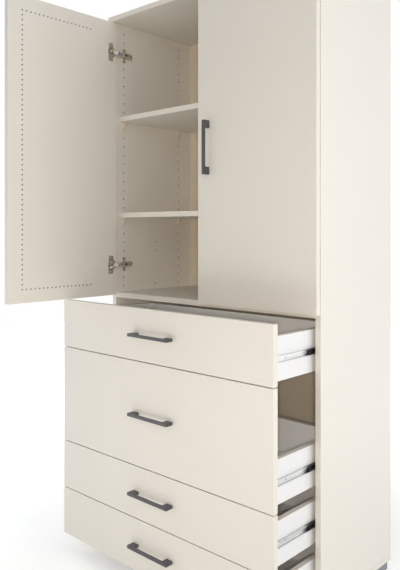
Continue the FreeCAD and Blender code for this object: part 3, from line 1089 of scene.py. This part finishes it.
@dataclass
class ConcealedHinge:
    """A cup, a link, an arm and a cross plate, drawn at the closed left corner.

    Corner coordinates are used: u runs inwards from the side panel's outer face, v back from its
    front edge, and z up from the hinge's middle.
    """

    arm_pin: Flat = (30.0, 2.0)
    cup_pin: Flat = (11.5, -4.5)
    bends: tuple[Flat, ...] = ((25.0, -11.0), (9.9, -10.8))
    board: float = 18.0
    cup_centre: float = 23.5
    cup_radius: float = 17.5
    rim_radius: float = 19.0
    door_face: float = -2.0
    cup_floor: float = -15.0
    flange_half: float = 32.5
    arm_half: float = 7.8
    arm_top: float = 34.5
    cheek: float = 1.5
    broad_face: float = 60.0
    pin_radius: float = 1.5
    eye_play: float = 0.08
    link_half: float = 5.9
    link_steel: float = 2.5
    bend_centre: float = 0.9  # a share of the mitre at a bend of the link
    bend_reach: float = 1.9  # a share of half the link's steel

    def plate(self, piece: Workpiece) -> None:
        """Adds the mounting plate: a long base, a cross wing and the block that centres the arm.

        Args:
            piece: The piece.
        """
        u = self.board
        for low, high, corner, steps, height, radius in (
            ((24, -9), (71, 9), 2.0, 4, 2.5, 0.4), ((30.8, -20), (41.2, 20), 1.0, 3, 2.4, 0.4),
            ((28.2, 15.5), (43.8, 25), 3.2, 5, 2.6, 0.6), ((28.2, -25), (43.8, -15.5), 3.2, 5, 2.6, 0.6),
        ):
            outline = rounded_rectangle(low, high, corner, steps)
            piece.prism([(u, v, z) for v, z in outline], (height, 0, 0), radius, 2)
        piece.box((u + 2, 27, -6), (u + 8, 69, 6), 0.6, 2)
        piece.screws([(u + 2.5, 36, 16), (u + 2.5, 36, -16)], X, NICKEL, 3.9, 1.0, 1.2)

    def arm(self, piece: Workpiece) -> None:
        """Adds the arm: a pressed channel with its pin, screws and clip lever. The round hole in its web, and
        the head that sits in it, are painted near black as shade.

        Args:
            piece: The piece.
        """
        foot, top, half = self.board + 2.5, self.arm_top, self.arm_half
        outline = [
            (foot, 22), (foot, 72), (24.2, 72), (25.6, 70.9), (top, 58), (top, 6), (32.8, -0.3),
            (27.4, -0.3),
        ]

        def lengthwise(edge: bmesh.types.BMEdge) -> bool:
            """Whether an edge runs along a cheek rather than across the arm."""
            return abs(edge.verts[0].co.z - edge.verts[1].co.z) < 1.0

        made = Workpiece("arm", MATT_NICKEL)
        made.prism([(u, v, -half) for u, v in outline], (0, 0, 2 * half), 1.1, 3, lengthwise)
        for face in made.body.faces:
            face.smooth = face.calc_area() < self.broad_face
        gap, roof = half - self.cheek, top - self.cheek
        inside = [(foot - 5, -5), (roof, -5), (roof, 57.4), (foot - 5, 78), (foot - 5, 80)]
        mouth = [(foot - 8, v, z) for v, z in rounded_rectangle((44.5, -3.2), (80, 3.2), 3.15, 5)]
        window = [(0, 0), (4.9, 0), (4.9, 8), (0, 8)]
        # The window's walls take the near black of the painted shade.
        made.carve(
            Workpiece("hollow", MATT_NICKEL).prism([(u, v, -gap) for u, v in inside], (0, 0, 2 * gap)),
            Workpiece("nose", MATT_NICKEL).box((top - 3, -5, -gap), (top + 5, 6.2, gap)),
            Workpiece("slot", MATT_NICKEL).prism(mouth, (30, 0, 0)),
            Workpiece("window", SHADE_BLACK).lathe(window, (top - 4, 35.4, 0), X, 28),
        )
        piece.join(made.to_mesh())
        piece.box((21.5, 60.0, -5.4), (26.0, 71.8, 5.4), 1.8, 3, lambda normal: 1, 1)
        rivet = [(0, 0), (1.6, 0), (2.2, 0.25), (2.2, 0.5), (0, 0.7)]
        self.pin(piece, self.arm_pin, half - 0.3)
        for sign in (1, -1):
            piece.lathe(rivet, (*self.arm_pin, sign * half), (0, 0, sign), 20)
        # The first head sits in the window and is near black: painted shade for the dark hole.
        for u, v, finish, radius, rise, recess in (
            (33.0, 35.4, SHADE_BLACK, 4.8, 1.2, 2.4), (top, 53.5, SCREW_ZINC, 4.2, 1.3, 1.0),
            (top, 14.5, BRIGHT_NICKEL, 2.9, 0.6, 0.9),
        ):
            piece.screws([(u, v, 0)], X, finish, radius, rise, recess)

    def pin(self, piece: Workpiece, at: Flat, reach: float) -> None:
        """Adds a riveted pin at a place in corner coordinates, with half its length."""
        r = self.pin_radius
        piece.lathe([(0, 0), (r, 0), (r, 2 * reach), (0, 2 * reach)], (*at, -reach), Z, 20)

    def link(self, piece: Workpiece) -> None:
        """Adds the cranked link, with a cover plate and an eye at each end.

        Args:
            piece: The piece.
        """
        path = [Vector(point) for point in (self.arm_pin, *self.bends, self.cup_pin)]
        half, w = self.link_steel / 2, self.link_half
        steps = [(b - a).normalized() for a, b in zip(path, path[1:])]
        sides = [Vector((-step.y, step.x)) for step in steps]
        left, right = [path[0] + sides[0] * half], [path[0] - sides[0] * half]
        for corner, before, after, near, far in zip(path[1:-1], steps, steps[1:], sides, sides[1:]):
            sign = 1 if before.angle_signed(after) < 0 else -1
            inner, outer = (left, right) if sign > 0 else (right, left)
            mitre = (near + far) * (half / (1 + near.dot(far)))
            inner.append(corner + mitre * sign)
            middle = corner + mitre * sign * self.bend_centre
            for share in (0.0, 0.5, 1.0):
                away = (near * (1 - share) + far * share).normalized()
                outer.append(middle - away * sign * (half * self.bend_reach))
        left.append(path[-1] + sides[-1] * half)
        right.append(path[-1] - sides[-1] * half)
        piece.prism([(p.x, p.y, -w) for p in left + right[::-1]], (0, 0, 2 * w), 0.25, 1)
        cover = rounded_rectangle((13.9, -8.0), (27.6, 8.0), 3.0, 5)
        piece.prism([(u, -12.6, z) for u, z in cover], (0, 1.4, 0), 0.55, 3)
        bore = self.pin_radius + self.eye_play
        # The eye at the arm's pin is a black acetal bush; its black also stands in for the shade in the gap
        # between link and arm.
        for at, radius, finish in ((self.arm_pin, 3.2, BLACK_ACETAL), (self.cup_pin, 2.8, BRIGHT_NICKEL)):
            ring = [(bore, 0.3), (bore + 0.3, 0), (radius - 0.4, 0), (radius, 0.4)]
            ring += [(r, 2 * w - h) for r, h in ring[::-1]]
            piece.join(Workpiece("eye", finish).lathe(ring, (*at, -w), Z, 28, True, 50).to_mesh())

    def cup(self, piece: Workpiece) -> None:
        """Adds the cup: a drawn pan with a rolled rim, its flange, lugs, pin and screws.

        Args:
            piece: The piece.
        """
        centre, face, floor = (self.cup_centre, 0, 0), self.door_face, self.cup_floor
        r, rim = self.cup_radius, self.rim_radius
        outside = [(0, floor), (r - 2, floor), (r - 0.6, floor + 0.6), (r, floor + 2), (r, face)]
        lip = [
            (rim, face), (rim, face + 0.8), (rim - 0.5, face + 1.3), (r - 0.3, face + 1.3),
            (r - 1, face + 0.5),
        ]
        inside = [(r - 1, floor + 2.6), (r - 1.4, floor + 1.3), (r - 2.6, floor + 0.8), (0, floor + 0.8)]
        piece.lathe(outside + lip + inside, centre, Y, 56)
        flange = Workpiece("flange", NICKEL)
        outline = rounded_rectangle((17.5, -self.flange_half), (39, self.flange_half), 3.0, 5)
        flange.prism([(u, face, z) for u, z in outline], Y, 0.35, 2)
        mouth = [(0, 0), (r - 0.6, 0), (r - 0.6, 6), (0, 6)]
        flange.carve(Workpiece("mouth", NICKEL).lathe(mouth, (self.cup_centre, face - 3, 0), Y, 56))
        piece.join(flange.to_mesh())
        for low, high in ((6.2, 10.7), (-10.7, -6.2)):
            piece.box((9.7, floor + 0.5, low), (13.3, face - 0.2, high), 0.6, 2)
        self.pin(piece, self.cup_pin, 10.2)
        heads = [(self.cup_centre + 6.5, face + 1, z) for z in (26, -26)]
        piece.screws(heads, Y, NICKEL, 3.6, 0.9, 1.1)


def about(pin: Flat, degrees: float) -> Matrix:
    """A turn about an upright pin."""
    there = Matrix.Translation((*pin, 0))
    return there @ Matrix.Rotation(math.radians(degrees), 4, "Z") @ there.inverted()


@dataclass
class Hinges:
    """The hinges of both doors. The left door stands open."""

    half_width: float = 445.0
    front: float = -195.0
    door_turn: float = 90.0
    link_turn: float = 61.27
    hinge: ConcealedHinge = field(default_factory=ConcealedHinge)

    def levels(self) -> Flat:
        """The heights of the hinges' middles, from the top."""
        low, high = span("door_left_hinge_cups")
        return high.z - self.hinge.flange_half, low.z + self.hinge.flange_half

    def places(self, side: Side, swung: Matrix) -> list[Matrix]:
        """The moves to a side's hinges, from corner coordinates in which a part has swung."""
        shifts = [Matrix.Translation((-self.half_width, self.front, level)) for level in self.levels()]
        return [side.mirror() @ shift @ swung for shift in shifts]

    def build(self) -> None:
        """Builds plates and arms for both sides, and then the cups and links of each door."""
        hinge, still = self.hinge, Matrix.Identity(4)
        link = about(hinge.arm_pin, self.link_turn)
        cup = link @ about(hinge.cup_pin, -(self.door_turn + self.link_turn))
        fixed = [place for side in Side for place in self.places(side, still)]
        parts = [
            ("hinge_plates", "root", NICKEL, hinge.plate, fixed),
            ("hinge_arms", "root", NICKEL, hinge.arm, fixed),
        ]
        for side, cup_move, link_move in ((Side.LEFT, cup, link), (Side.RIGHT, still, still)):
            door = f"door_{side.name.lower()}"
            cups, links = self.places(side, cup_move), self.places(side, link_move)
            parts.append((door + "_hinge_cups", door, NICKEL, hinge.cup, cups))
            parts.append((door + "_hinge_links", door + "_link", BRIGHT_NICKEL, hinge.link, links))
        for node, body, finish, make, places in parts:
            piece = Workpiece(node + "_pressed", finish, BRIGHT_NICKEL)
            piece.add(make, *places)
            piece.deliver(body, "hinge_steel", node)


# ---------------------------------------------------------------- doors

@dataclass
class Doors:
    """The two door panels, with their rows of ventilation holes, and their handles."""

    pitch: float = 16.0
    edge_row: float = 52.3
    upright: int = 57
    level_count: int = 18
    top_margin: float = 47.3
    bottom_margin: float = 43.7
    hole_radius: float = 2.4
    hole_depth: float = 9.0
    cup_inset: float = 22.5
    cup_bore: float = 17.6
    cup_depth: float = 13.3

    def build(self) -> None:
        """Builds both doors. The left one stands open and the right one is closed."""
        opened = Matrix.Rotation(-math.pi / 2, 4, "Z")
        for side, turn in ((Side.LEFT, opened), (Side.RIGHT, Matrix.Identity(4))):
            name = f"door_{side.name.lower()}"
            Board(name + "_panel", name, rows=self.rows(name, side is Side.LEFT)).build()
            BarHandle().fit(name, turn, side is Side.LEFT)

    def rows(self, name: str, standing_open: bool) -> list[Row]:
        """The holes in a door's inner face.

        Args:
            name: The door.
            standing_open: Whether it stands open, so that its inner face looks along X.

        Returns:
            One upright row by the free edge, one towards the hinges at its top and bottom, and
            the bores for the cups.
        """
        low, high = span(name + "_panel")
        across, facing = (1, X) if standing_open else (0, Y)
        free, hinged = low[across], high[across]

        def at(place: float, z: float) -> Point:
            """A point on the inner face."""
            return (high.x, place, z) if standing_open else (place, high.y, z)

        top, bottom = high.z - self.top_margin, low.z + self.bottom_margin
        hole = (facing, self.hole_radius, self.hole_depth)
        gap = (top - bottom) / (self.upright - 1)
        step = (0, self.pitch, 0) if standing_open else (self.pitch, 0, 0)
        rows = [Row(at(free + self.edge_row, top), (0, 0, -gap), self.upright, *hole)]
        start = free + self.edge_row + self.pitch
        rows += [Row(at(start, z), step, self.level_count - 1, *hole) for z in (top, bottom)]
        upper, lower = Hinges().levels()
        bore = (facing, self.cup_bore, self.cup_depth)
        return rows + [Row(at(hinged - self.cup_inset, upper), (0, 0, lower - upper), 2, *bore, corners=56)]


# ---------------------------------------------------------------- slides

@dataclass(frozen=True)
class Heads:
    """Screw heads in a web: where they are along it, their size, and how deep they sit."""

    at: tuple[float, ...]
    radius: float
    rise: float
    recess: float
    sunk: float = 0.0


@dataclass(frozen=True)
class SlidePart:
    """A rolled C section of a left-hand slide, with what is punched into its web.

    It reaches from its back, whose place is given in x, towards its opening. Holes and heads
    are counted from its front end.
    """

    back: float
    reach: float
    half_height: float
    steel: float
    bend: float
    holes: tuple[Row, ...]
    heads: tuple[Heads, ...] = ()

    def outline(self) -> list[Flat]:
        """The section: how far from the back, and how high.

        Returns:
            The outline, going round once.
        """
        far, top, t, r = abs(self.reach), self.half_height, self.steel, self.bend
        fillet = max(r - t, 0.3)
        inside, middle = top - t - fillet, t + fillet
        return [
            (far, -top), *arc((r, r - top), r, 270, 180, 4), *arc((r, top - r), r, 180, 90, 4), (far, top),
            (far, top - t), *arc((middle, inside), fillet, 90, 180, 3),
            *arc((middle, -inside), fillet, 180, 270, 3), (far, t - top),
        ]

    def add_to(self, part: Workpiece, finish: Finish, start: float, end: float, level: float) -> None:
        """Adds the section along Y.

        Args:
            part: What gets it.
            finish: Its finish, also in the holes.
            start: Its front end.
            end: Its rear end.
            level: The height of its middle.
        """
        sign = math.copysign(1, self.reach)
        web = self.back + sign * self.steel
        ring = [(self.back + sign * x, start, level + z) for x, z in self.outline()]
        part.prism(ring, (0, end - start, 0), 0.12, 1)
        part.drill(*(
            replace(row, first=(web, start + row.first[1], level), facing=(sign, 0, 0)) for row in self.holes
        ), wall=finish)
        for heads in self.heads:
            points = [(web - sign * heads.sunk, start + at, level) for at in heads.at]
            part.screws(points, (sign, 0, 0), SCREW_ZINC, heads.radius, heads.rise, heads.recess)


def punched(at: float, pitch: float, count: int, radius: float, slot: float = 0.0, corners: int = 16) -> Row:
    """Holes through a web, or slots of a length, from a place along it; the web gives the rest."""
    return Row((0, at, 0), (0, pitch, 0), count, X, radius, 3.0, (0, slot, 0), corners)


DRAWER_RAIL = SlidePart(
    -417.0, -8.2, 8.5, 1.0, 1.6,
    (
        punched(12, 25, 2, 2.2), punched(65, 1, 1, 3.6, 0, 24), punched(92, 128, 2, 1.9, 8),
        punched(330, 1, 1, 2.6),
    ),
    (Heads((65,), 2.9, 1.1, 1.0, 0.8), Heads((160, 290), 2.9, 0.35, 0.9)),
)
CABINET_RAIL = SlidePart(
    -427.0, 7.0, 5.2, 1.0, 1.4, (punched(20, 1, 1, 1.8, 6), punched(65, 96, 3, 1.8)),
    (Heads((33, 193, 321), 3.2, 1.2, 1.0),),
)
CAGE = SlidePart(-418.6, -5.8, 6.7, 0.8, 0.5, (punched(14, 23.4, 6, 2.0, 10, 12),))


@dataclass
class CabinetRails:
    """The slides' inner rails, screwed to the side panels at the height of each drawer's own."""

    rail: SlidePart = CABINET_RAIL
    finish: Finish = RAIL_ZINC

    def build(self) -> None:
        """Builds all eight as one piece."""
        low, high = span("cabinet_rails")
        piece = Workpiece("cabinet_rails_rolled", self.finish)
        for name in DRAWERS:
            rail_low, rail_high = span(name + "_rails")
            level = (rail_low.z + rail_high.z) / 2
            piece.add(lambda part: self.rail.add_to(part, self.finish, low.y, high.y, level), *BOTH_SIDES)
        piece.deliver("root", "slide_steel", "cabinet_rails")


# ---------------------------------------------------------------- drawers

@dataclass
class Drawer:
    """One drawer: front, box, handle, its rails and the cages that follow it."""

    name: str
    fade: float = 0.03  # how far in front of the cage the painted shade on the rails sets in, in metres
    ball_track: float = -422.4
    ball_inset: float = 6.0
    ball_row: float = 6.35
    ball_pitch: float = 12.09
    ball_count: int = 12
    ball_radius: float = 1.08

    def build(self) -> None:
        """Builds the drawer."""
        self.boards()
        BarHandle().fit(self.name, Matrix.Rotation(math.pi / 2, 4, "Y"))
        self.rails()
        self.cages()

    def node(self, part: str) -> str:
        """The full name of one of its solids."""
        return f"{self.name}_{part}"

    def boards(self) -> None:
        """The front, the two sides, the back and the bottom."""
        low, high = span(self.node("bottom"))
        Board(self.node("front"), self.name, grooves=[(low, high)]).build()
        white = {"body": self.name, "slot": "white_board", "face": WHITE, "band": DRAWER_BAND}
        for part, edge_radius, grooves in (
            ("side_left", 0.7, [(low, high + Vector(Y))]), ("side_right", 0.7, [(low, high + Vector(Y))]),
            ("back", 0.7, []), ("bottom", 0.3, []),
        ):
            Board(self.node(part), **white, edge_radius=edge_radius, grooves=grooves).build()

    def rails(self) -> None:
        """The two outer rails, screwed to the box's sides, with painted shade, near black, where the cage
        runs.
        """
        low, high = span(self.node("rails"))
        cage = span(self.node("ball_cages"))[0].y * MM
        # Painted shade: the rail steel goes near black from just in front of the cage's front end backwards.
        zinc = replace(RAIL_ZINC, name="Greased zinc-plated strip", painted_shade=(cage - self.fade, cage + MM))
        piece = Workpiece(self.node("rails_rolled"), zinc)
        level = (low.z + high.z) / 2
        piece.add(lambda part: DRAWER_RAIL.add_to(part, zinc, low.y, high.y, level), *BOTH_SIDES)
        piece.deliver(self.name, "slide_steel", self.node("rails"))

    def cages(self) -> None:
        """The two black cages, each with two rows of balls."""
        low, high = span(self.node("ball_cages"))
        piece = Workpiece(self.node("ball_cages_moulded"), BLACK_ACETAL, BALL_STEEL)
        level = (low.z + high.z) / 2

        def cage(part: Workpiece) -> None:
            """Makes the left one."""
            CAGE.add_to(part, BLACK_ACETAL, low.y, high.y, level)
            for row in (self.ball_row, -self.ball_row):
                first = (self.ball_track, low.y + self.ball_inset, level + row)
                part.balls(first, (0, self.ball_pitch, 0), self.ball_count, self.ball_radius)

        piece.add(cage, *BOTH_SIDES)
        piece.deliver(self.name + "_cage", "cage_plastic", self.node("ball_cages"))


# ---------------------------------------------------------------- studio

@dataclass(frozen=True)
class Softbox:
    """A square studio light."""

    name: str
    place: Point
    target: Point
    size: float
    power: float
    colour: str = "#ffffff"

    def build(self) -> None:
        """Hangs the light."""
        lamp = bpy.data.lights.new(self.name, "AREA")
        lamp.size, lamp.energy = self.size, self.power
        lamp.color = to_linear(self.colour)[:3]
        holder = put_in_scene(self.name, lamp)
        holder.location = self.place
        aim = Vector(self.target) - Vector(self.place)
        holder.rotation_euler = aim.to_track_quat("-Z", "Y").to_euler()


@dataclass
class Studio:
    """The floor, the lights, the white surroundings and the camera, in metres."""

    focal_pixels: float = 650.23
    long_side_pixels: float = 570.0
    shift: float = -0.0953
    eye: Point = (1.4170, -1.7288, 1.0846)
    heading: float = 42.89
    ambient: str = "#969ba1"
    paint: str = "#f4f4f2"
    white: Colour = (1.0, 1.0, 1.0, 1.0)
    floor_reach: float = 5.0
    fade: Flat = (0.6, 2.2)
    glow: Flat = (0.26, 1.0)
    boxes: tuple[Softbox, ...] = (
        Softbox("Ring light at the camera", (1.5, -1.83, 1.09), (0, 0, 1.0), 0.1, 16.5, "#fff0e0"),
        Softbox("High front light", (2.0, -2.6, 2.4), (0, 0, 1.0), 1.2, 8),
        Softbox("Low front light", (-0.5, -1.7, 0.12), (-0.2, -0.63, 0.3), 0.5, 4),
        Softbox("Left light", (-3.0, -0.5, 1.5), (0, 0, 1.0), 2.5, 45, "#fbfcff"),
        Softbox("Right rear light", (2.8, 1.2, 1.2), (0, 0, 0.9), 1.6, 24, "#f8fbff"),
        Softbox("Right light", (2.4, 0.0, 0.8), (0, -0.1, 0.6), 1.2, 2.2),
        Softbox("High right light", (2.6, -0.2, 2.6), (0, 0, 1.2), 1.2, 12, "#f8fbff"),
        Softbox("Top light", (0, 0.3, 3.3), (0, 0.1, 1.8), 1.4, 8, "#fffaf2"),
        Softbox("Rear light", (-0.4, 4.2, 1.4), (-0.1, 0, 1.0), 1.5, 32),
    )

    def build(self) -> None:
        """Sets up everything round the object."""
        bpy.context.scene.view_settings.view_transform = "Standard"
        self.camera()
        self.surroundings()
        self.floor()
        for box in self.boxes:
            box.build()

    def camera(self) -> None:
        """Stands the camera to the right of the front, a quarter of the way up the doors."""
        camera = bpy.data.cameras.new("camera")
        camera.sensor_width = 36.0
        camera.lens = self.focal_pixels * camera.sensor_width / self.long_side_pixels
        camera.shift_y = self.shift
        holder = put_in_scene("camera", camera)
        holder.location = self.eye
        holder.rotation_euler = (math.radians(90), 0, math.radians(self.heading))
        bpy.context.scene.camera = holder

    def seen_directly(self, tree: Tree) -> Socket:
        """Whether a ray comes from the camera, a mirror or a glass.

        Args:
            tree: The tree.

        Returns:
            1 for such a ray and 0 for another.
        """
        rays = add_node(tree, "ShaderNodeLightPath").outputs
        settings, seen = {"operation": "ADD", "use_clamp": True}, rays["Is Camera Ray"]
        for kind in ("Is Glossy Ray", "Is Transmission Ray"):
            seen = add_node(tree, "ShaderNodeMath", settings, {0: seen, 1: rays[kind]}).outputs[0]
        return seen

    def surroundings(self) -> None:
        """Makes the surroundings white to the eye, and a soft even light to the object."""
        world = bpy.data.worlds.new("Studio")
        bpy.context.scene.world = world
        world.use_nodes = True
        tree = world.node_tree
        inputs = {0: self.seen_directly(tree), 6: to_linear(self.ambient), 7: self.white}
        colour = add_node(tree, "ShaderNodeMix", {"data_type": "RGBA"}, inputs).outputs[2]
        tree.links.new(colour, tree.nodes["Background"].inputs["Color"])

    def floor(self) -> None:
        """Lays a pale floor that fades into the white and keeps the object's shadow."""
        mesh, reach = bpy.data.meshes.new("floor"), self.floor_reach
        corners = [(-reach, -reach, 0), (reach, -reach, 0), (reach, reach, 0), (-reach, reach, 0)]
        mesh.from_pydata(corners, [], [(0, 1, 2, 3)])
        floor = put_in_scene("floor", mesh)
        material = bpy.data.materials.new("White painted studio floor")
        material.use_nodes = True
        tree = material.node_tree
        shader = tree.nodes["Principled BSDF"]
        for key, value in {
            "Base Color": to_linear(self.paint), "Roughness": 0.9, "Specular IOR Level": 0.0,
            "Emission Color": self.white,
        }.items():
            shader.inputs[key].default_value = value
        place = add_node(tree, "ShaderNodeTexCoord").outputs["Object"]
        away = add_node(tree, "ShaderNodeVectorMath", {"operation": "LENGTH"}, {0: place}).outputs["Value"]
        (near, far), (dim, full) = self.fade, self.glow
        inputs = {"Value": away, "From Min": near, "From Max": far, "To Min": dim, "To Max": full}
        glow = add_node(tree, "ShaderNodeMapRange", {"interpolation_type": "SMOOTHSTEP"}, inputs)
        inputs = {0: glow.outputs["Result"], 1: self.seen_directly(tree)}
        seen = add_node(tree, "ShaderNodeMath", {"operation": "MULTIPLY"}, inputs)
        tree.links.new(seen.outputs[0], shader.inputs["Emission Strength"])
        mesh.materials.append(material)


def main() -> None:
    """Builds the cupboard's sub-assemblies in order, then the studio round them."""
    logging.basicConfig(level=logging.INFO, format="%(name)s: %(message)s")
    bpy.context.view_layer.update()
    Carcass().build()
    CabinetRails().build()
    Hinges().build()
    Doors().build()
    for name in DRAWERS:
        Drawer(name).build()
    Studio().build()


if __name__ == "__main__":
    main()
